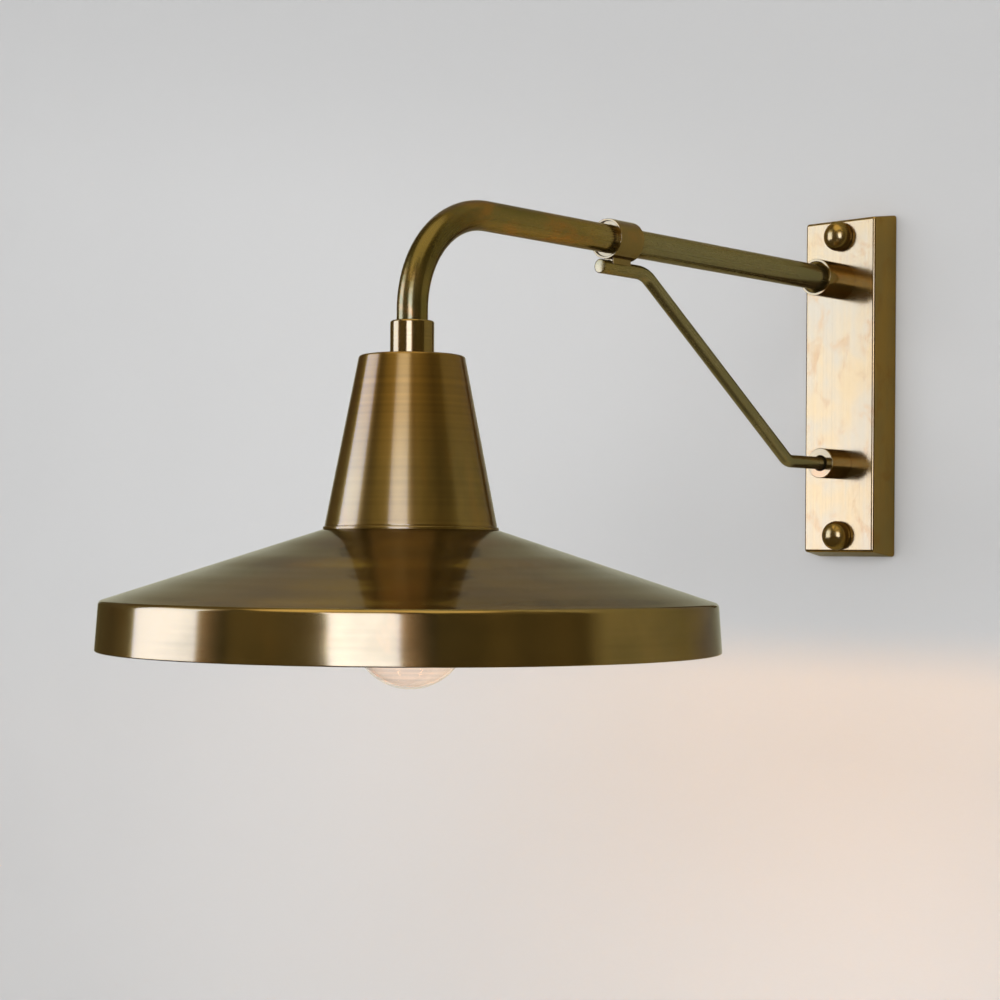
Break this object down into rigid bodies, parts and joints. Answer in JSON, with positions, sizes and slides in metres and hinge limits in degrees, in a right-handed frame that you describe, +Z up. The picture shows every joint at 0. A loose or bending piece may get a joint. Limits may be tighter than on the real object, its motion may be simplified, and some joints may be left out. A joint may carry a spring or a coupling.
{
  "type": "wall light",
  "caption": "Wall light with a tall cover plate, a bent tube arm held by a cranked brace rod, and a cone-topped shade with a wide flat brim over a round screw-in bulb.",
  "frame": {"origin": "centre of the cover plate's back, in the plane of the wall", "axes": "+Z up, +Y into the wall, so the arm stands out along -Y; X is across the plate"},
  "size_m": [0.3162, 0.5714, 0.2906],
  "materials": {
    "aged_brass": "brushed, aged",
    "contact_brass": "plain",
    "steel": "zinc plated",
    "porcelain": "glazed",
    "connector_plastic": "moulded",
    "clear_glass": "clear",
    "black_glass": "glossy",
    "filament": "coated",
    "live_insulation": "smooth",
    "neutral_insulation": "smooth",
    "earth_insulation": "smooth"
  },
  "bodies": {
    "light": {"arm_boss": "aged_brass", "arm_boss_nut": "steel", "arm_boss_washer": "steel", "arm_tube": "aged_brass", "back_plate": "aged_brass", "block_fixing_screw": "steel", "centre_contact": "contact_brass", "cover_studs": "steel", "earth_link": "earth_insulation", "earth_screw": "steel", "earth_tag": "steel", "earth_wire": "earth_insulation", "holder_terminal_screws": "contact_brass", "holder_terminals": "contact_brass", "lampholder_cap": "aged_brass", "lampholder_core": "porcelain", "lampholder_skirt": "aged_brass", "live_wire": "live_insulation", "neutral_wire": "neutral_insulation", "nipple_grub_screw": "steel", "screw_shell": "contact_brass", "shade_coupler": "aged_brass", "shade_dish": "aged_brass", "shade_lock_nut": "steel", "shade_neck": "aged_brass", "shade_washer": "steel", "strut_boss": "aged_brass", "strut_boss_nut": "steel", "strut_boss_washer": "steel", "strut_collar": "aged_brass", "strut_rod": "aged_brass", "stud_lock_nuts": "steel", "terminal_block": "connector_plastic", "terminal_clamps": "contact_brass", "terminal_screws": "contact_brass", "threaded_nipple": "steel", "wall_bracket": "steel"},
    "top_washer": {"top_nut_washer": "steel"},
    "top_nut": {"top_thumb_nut": "aged_brass"},
    "bottom_washer": {"bottom_nut_washer": "steel"},
    "bottom_nut": {"bottom_thumb_nut": "aged_brass"},
    "bulb_end": {"bulb_end_contact": "contact_brass"},
    "bulb": {"bulb_glass": "clear_glass", "bulb_cap": "contact_brass", "bulb_cap_insulator": "black_glass", "bulb_stem": "clear_glass", "bulb_leads": "steel", "bulb_filaments": "filament", "filament_hub": "steel"}
  },
  "joints": [
    {"name": "top_nut_travel", "type": "slide", "parent": "light", "child": "top_washer", "axis": [0, -1, 0], "range_m": [0, 0.00641]},
    {"name": "top_nut_turn", "type": "hinge", "parent": "top_washer", "child": "top_nut", "pos_m": [0, -0.0215, 0.0974], "axis": [0, -1, 0], "range_deg": [0, 2880]},
    {"name": "bottom_nut_travel", "type": "slide", "parent": "light", "child": "bottom_washer", "axis": [0, -1, 0], "range_m": [0, 0.00641]},
    {"name": "bottom_nut_turn", "type": "hinge", "parent": "bottom_washer", "child": "bottom_nut", "pos_m": [0, -0.0215, -0.0974], "axis": [0, -1, 0], "range_deg": [0, 2880]},
    {"name": "bulb_travel", "type": "slide", "parent": "light", "child": "bulb_end", "axis": [0, 0, -1], "range_m": [0, 0.01272]},
    {"name": "bulb_turn", "type": "hinge", "parent": "bulb_end", "child": "bulb", "pos_m": [0, -0.4133, -0.1], "axis": [0, 0, -1], "range_deg": [0, 1260]}
  ],
  "couplings": [
    {"joint": "top_nut_travel", "follows": "top_nut_turn", "m_per_rad": 0.00012732},
    {"joint": "bottom_nut_travel", "follows": "bottom_nut_turn", "m_per_rad": 0.00012732},
    {"joint": "bulb_travel", "follows": "bulb_turn", "m_per_rad": 0.00057773}
  ]
}
